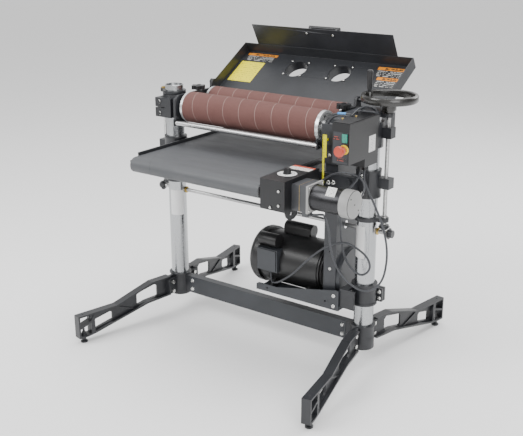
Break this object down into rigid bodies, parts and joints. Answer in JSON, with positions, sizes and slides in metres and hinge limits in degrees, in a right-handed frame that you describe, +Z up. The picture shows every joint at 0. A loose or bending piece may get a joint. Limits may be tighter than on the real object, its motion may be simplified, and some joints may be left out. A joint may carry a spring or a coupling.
{
  "type": "dual drum sander",
  "caption": "Floor-standing sander with two abrasive drums over a powered feed belt, on two posts with splayed legs; the dust hood is open.",
  "frame": {"origin": "on the floor, under the centre of the machine's outline", "axes": "+X along the drums to the operator's right, +Y to the outfeed side, +Z up"},
  "size_m": [1.2362, 1.073, 1.2493],
  "materials": {
    "bright_steel": "bright turned steel",
    "zinc_steel": "zinc plated",
    "black_casting": "satin black enamel",
    "black_sheet": "satin black powder coat",
    "charcoal_sheet": "satin charcoal powder coat",
    "foot_black": "black oxide",
    "drum_alloy": "machined",
    "abrasive": "coated abrasive cloth",
    "drive_rubber": "matt",
    "feed_belt": "fine abrasive faced belt",
    "black_plastic": "fine texture",
    "grey_alloy": "grey enamel and cast alloy",
    "green_plastic": "gloss",
    "red_plastic": "gloss",
    "yellow_scale": "printed scale",
    "cable": "grey black sheath"
  },
  "bodies": {
    "stand": {"posts": "bright_steel", "base_collars": "black_casting", "cross_beam": "black_sheet", "leg_front_left": "black_casting", "leg_front_right": "black_casting", "leg_rear_left": "black_casting", "leg_rear_right": "black_casting", "base_bolts": "zinc_steel", "motor_bracket": "black_casting", "motor_tray": "black_sheet", "motor_shell": "black_sheet", "fan_cover": "black_sheet", "capacitor_covers": "black_sheet", "junction_box": "black_sheet", "drive_belt": "drive_rubber", "belt_guard": "black_sheet", "head_end_left": "black_casting", "head_end_right": "black_casting", "drum_bearings": "black_casting", "roller_brackets": "zinc_steel", "screw_brackets": "black_casting", "switch_box": "black_plastic", "depth_scale": "yellow_scale", "lead_motor": "cable", "lead_table": "cable"},
    "motor_shaft": {"motor_rotor": "bright_steel", "motor_pulley": "black_casting"},
    "front_drum": {"drum_front": "drum_alloy", "wrap_front": "abrasive"},
    "rear_drum": {"drum_rear": "drum_alloy", "wrap_rear": "abrasive"},
    "infeed_roller": {"roller_infeed": "bright_steel"},
    "outfeed_roller": {"roller_outfeed": "bright_steel"},
    "dust_hood": {"hood": "charcoal_sheet", "hood_lip": "charcoal_sheet", "hood_handle": "black_plastic", "dust_ports": "black_sheet"},
    "left_knob": {"head_knob_left": "black_plastic"},
    "right_knob": {"head_knob_right": "black_plastic"},
    "right_screw": {"screw_right": "bright_steel", "handwheel": "black_casting"},
    "left_screw": {"screw_left": "bright_steel"},
    "crank_grip": {"wheel_grip": "black_plastic"},
    "lift_shaft": {"cross_shaft": "bright_steel"},
    "table": {"table_frame": "black_sheet", "table_collars": "black_casting", "feed_belt": "feed_belt", "control_box": "black_plastic", "feed_gearbox": "grey_alloy", "feed_motor": "grey_alloy", "lead_feed": "cable"},
    "drive_roller": {"feed_roller_front": "drum_alloy"},
    "idler_roller": {"feed_roller_rear": "drum_alloy"},
    "dial": {"speed_knob": "black_plastic"},
    "green_button": {"start_button": "green_plastic"},
    "red_button": {"stop_button": "red_plastic"},
    "front_left_foot": {"foot_front_left": "foot_black"},
    "front_right_foot": {"foot_front_right": "foot_black"},
    "rear_left_foot": {"foot_rear_left": "foot_black"},
    "rear_right_foot": {"foot_rear_right": "foot_black"}
  },
  "joints": [
    {"name": "motor_turn", "type": "hinge", "parent": "stand", "child": "motor_shaft", "pos_m": [0.0806, 0.045, 0.356], "axis": [1, 0, 0], "continuous": true},
    {"name": "front_drum_turn", "type": "hinge", "parent": "stand", "child": "front_drum", "pos_m": [-0.0194, 0, 0.936], "axis": [1, 0, 0], "continuous": true},
    {"name": "rear_drum_turn", "type": "hinge", "parent": "stand", "child": "rear_drum", "pos_m": [-0.0194, 0.16, 0.936], "axis": [1, 0, 0], "continuous": true},
    {"name": "infeed_roller_turn", "type": "hinge", "parent": "stand", "child": "infeed_roller", "pos_m": [-0.0194, -0.078, 0.88], "axis": [1, 0, 0], "continuous": true},
    {"name": "outfeed_roller_turn", "type": "hinge", "parent": "stand", "child": "outfeed_roller", "pos_m": [-0.0194, 0.238, 0.88], "axis": [1, 0, 0], "continuous": true},
    {"name": "hood_swing", "type": "hinge", "parent": "stand", "child": "dust_hood", "pos_m": [-0.0194, 0.185, 1.012], "axis": [1, 0, 0], "range_deg": [0, 149]},
    {"name": "left_knob_turn", "type": "hinge", "parent": "stand", "child": "left_knob", "pos_m": [-0.4254, 0.082, 1], "axis": [0, 0, 1], "range_deg": [0, 720]},
    {"name": "right_knob_turn", "type": "hinge", "parent": "stand", "child": "right_knob", "pos_m": [0.2866, 0.082, 1], "axis": [0, 0, 1], "range_deg": [0, 720]},
    {"name": "wheel_turn", "type": "hinge", "parent": "stand", "child": "right_screw", "pos_m": [0.5156, 0.012, 0.8], "axis": [0, 0, 1], "range_deg": [-2880, 5040]},
    {"name": "lift_shaft_turn", "type": "hinge", "parent": "stand", "child": "lift_shaft", "pos_m": [-0.0194, 0.012, 0.565], "axis": [1, 0, 0], "range_deg": [-5041, 2881]},
    {"name": "left_screw_turn", "type": "hinge", "parent": "stand", "child": "left_screw", "pos_m": [-0.5544, 0.012, 0.8], "axis": [0, 0, 1], "range_deg": [-5041, 2881]},
    {"name": "table_lift", "type": "slide", "parent": "stand", "child": "table", "axis": [0, 0, 1], "range_m": [-0.0701, 0.0401], "deforming": ["lead_table"]},
    {"name": "grip_turn", "type": "hinge", "parent": "right_screw", "child": "crank_grip", "pos_m": [0.4336, 0.012, 1.1], "axis": [0, 0, 1], "continuous": true},
    {"name": "drive_roller_turn", "type": "hinge", "parent": "table", "child": "drive_roller", "pos_m": [-0.0194, -0.325, 0.757], "axis": [1, 0, 0], "continuous": true},
    {"name": "idler_roller_turn", "type": "hinge", "parent": "table", "child": "idler_roller", "pos_m": [-0.0194, 0.455, 0.757], "axis": [1, 0, 0], "continuous": true},
    {"name": "dial_turn", "type": "hinge", "parent": "table", "child": "dial", "pos_m": [0.2626, -0.259, 0.812], "axis": [0, 0, 1], "range_deg": [0, 270]},
    {"name": "green_press", "type": "slide", "parent": "stand", "child": "green_button", "axis": [0, 1, 0], "range_m": [0, 0.003], "stiffness_N_per_m": 800},
    {"name": "red_press", "type": "slide", "parent": "stand", "child": "red_button", "axis": [0, 1, 0], "range_m": [0, 0.004], "stiffness_N_per_m": 1500},
    {"name": "front_left_foot_turn", "type": "hinge", "parent": "stand", "child": "front_left_foot", "pos_m": [-0.59408, -0.49962, 0.02], "axis": [0, 0, 1], "range_deg": [-720, 720]},
    {"name": "front_right_foot_turn", "type": "hinge", "parent": "stand", "child": "front_right_foot", "pos_m": [0.52826, -0.50494, 0.02], "axis": [0, 0, 1], "range_deg": [-720, 720]},
    {"name": "rear_left_foot_turn", "type": "hinge", "parent": "stand", "child": "rear_left_foot", "pos_m": [-0.57094, 0.50428, 0.02], "axis": [0, 0, 1], "range_deg": [-720, 720]},
    {"name": "rear_right_foot_turn", "type": "hinge", "parent": "stand", "child": "rear_right_foot", "pos_m": [0.52826, 0.50494, 0.02], "axis": [0, 0, 1], "range_deg": [-720, 720]}
  ],
  "couplings": [
    {"joint": "front_drum_turn", "follows": "motor_turn", "ratio": 1.5263},
    {"joint": "rear_drum_turn", "follows": "motor_turn", "ratio": 1.5263},
    {"joint": "lift_shaft_turn", "follows": "wheel_turn", "ratio": -1},
    {"joint": "left_screw_turn", "follows": "wheel_turn", "ratio": -1},
    {"joint": "table_lift", "follows": "wheel_turn", "m_per_rad": -0.00079577},
    {"joint": "idler_roller_turn", "follows": "drive_roller_turn", "ratio": 1}
  ]
}
